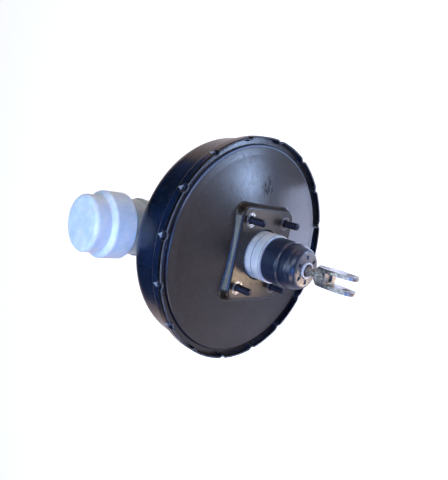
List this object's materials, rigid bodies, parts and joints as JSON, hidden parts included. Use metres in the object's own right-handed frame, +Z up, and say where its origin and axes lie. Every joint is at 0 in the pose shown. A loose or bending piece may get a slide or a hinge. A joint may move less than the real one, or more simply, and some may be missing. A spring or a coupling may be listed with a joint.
{
  "type": "vacuum brake booster",
  "caption": "Vacuum brake booster: crimped round shell, studded rear face, rubber booted push rod with clevis, and a tandem master cylinder with a round fluid reservoir.",
  "frame": {"origin": "centre of the stud pattern on the face that lies against the bulkhead", "axes": "+Y forward along the push rod, away from the pedal; +Z up through the reservoir; +X to the right seen from the pedal"},
  "size_m": [0.25, 0.305, 0.281],
  "materials": {
    "black_paint": "gloss black stove enamel on pressed steel",
    "zinc_steel": "zinc plated pressed steel",
    "black_stud": "steel studs painted over with the shell",
    "turned_steel": "turned steel",
    "forged_steel": "dark phosphated steel",
    "spring_steel": "drawn spring wire",
    "white_plastic": "white glass filled moulding",
    "clear_plastic": "milky translucent moulding",
    "black_plastic": "black moulding",
    "black_rubber": "black rubber",
    "felt": "grey felt",
    "cast_aluminium": "cast and machined aluminium",
    "anodised": "turned and anodised aluminium"
  },
  "bodies": {
    "housing": {"front_shell": "black_paint", "rear_shell": "black_paint", "rear_plate": "zinc_steel", "rear_studs": "black_stud", "rear_seal": "black_rubber", "rear_bearing": "black_plastic", "front_plate": "zinc_steel", "front_studs": "zinc_steel", "flange_nuts": "zinc_steel", "cylinder_body": "cast_aluminium", "cylinder_o_ring": "black_rubber", "cylinder_snap_ring": "spring_steel", "reservoir": "clear_plastic", "inlet_grommets": "black_rubber", "check_grommet": "black_rubber", "check_valve": "black_plastic"},
    "power_piston": {"diaphragm_plate": "zinc_steel", "diaphragm": "black_rubber", "valve_body": "white_plastic", "stop_key": "zinc_steel", "poppet": "black_rubber", "poppet_retainer": "zinc_steel", "poppet_spring": "spring_steel", "rod_spring": "spring_steel", "air_filter": "felt", "boot": "black_rubber", "boot_end_ring": "zinc_steel", "reaction_disc": "black_rubber", "output_rod": "turned_steel", "output_rod_retainer": "zinc_steel", "return_spring": "spring_steel"},
    "valve_plunger": {"plunger": "turned_steel"},
    "push_rod": {"input_rod": "forged_steel", "clevis": "forged_steel"},
    "primary_plunger": {"primary_piston": "anodised", "primary_cups": "black_rubber", "primary_spring": "spring_steel"},
    "secondary_plunger": {"secondary_piston": "anodised", "secondary_cups": "black_rubber", "secondary_spring": "spring_steel"},
    "valve_disc": {"check_disc": "black_rubber"},
    "cap": {"reservoir_cap": "clear_plastic", "cap_seal": "black_rubber"}
  },
  "joints": [
    {"name": "piston_slide", "type": "slide", "parent": "housing", "child": "power_piston", "axis": [0, 1, 0], "range_m": [0, 0.028], "stiffness_N_per_m": 2500, "springref_m": -0.03, "deforming": ["return_spring", "diaphragm"]},
    {"name": "valve_slide", "type": "slide", "parent": "power_piston", "child": "valve_plunger", "axis": [0, 1, 0], "range_m": [0, 0.0015], "stiffness_N_per_m": 4000, "springref_m": -0.005, "deforming": ["rod_spring", "poppet_spring", "poppet"]},
    {"name": "push_rod_tilt", "type": "hinge", "parent": "valve_plunger", "child": "push_rod", "pos_m": [0, 0.0106, 0], "axis": [1, 0, 0], "range_deg": [-2, 2]},
    {"name": "primary_slide", "type": "slide", "parent": "housing", "child": "primary_plunger", "axis": [0, 1, 0], "range_m": [0, 0.028], "deforming": ["primary_spring"]},
    {"name": "secondary_slide", "type": "slide", "parent": "housing", "child": "secondary_plunger", "axis": [0, 1, 0], "range_m": [0, 0.014], "deforming": ["secondary_spring"]},
    {"name": "check_lift", "type": "slide", "parent": "housing", "child": "valve_disc", "axis": [0, 1, 0], "range_m": [0, 0.002]},
    {"name": "cap_turn", "type": "hinge", "parent": "housing", "child": "cap", "pos_m": [0, 0.113, 0.134], "axis": [0, 0, 1], "range_deg": [0, 90]}
  ],
  "couplings": [
    {"joint": "primary_slide", "follows": "piston_slide", "ratio": 1},
    {"joint": "secondary_slide", "follows": "piston_slide", "ratio": 0.5}
  ]
}
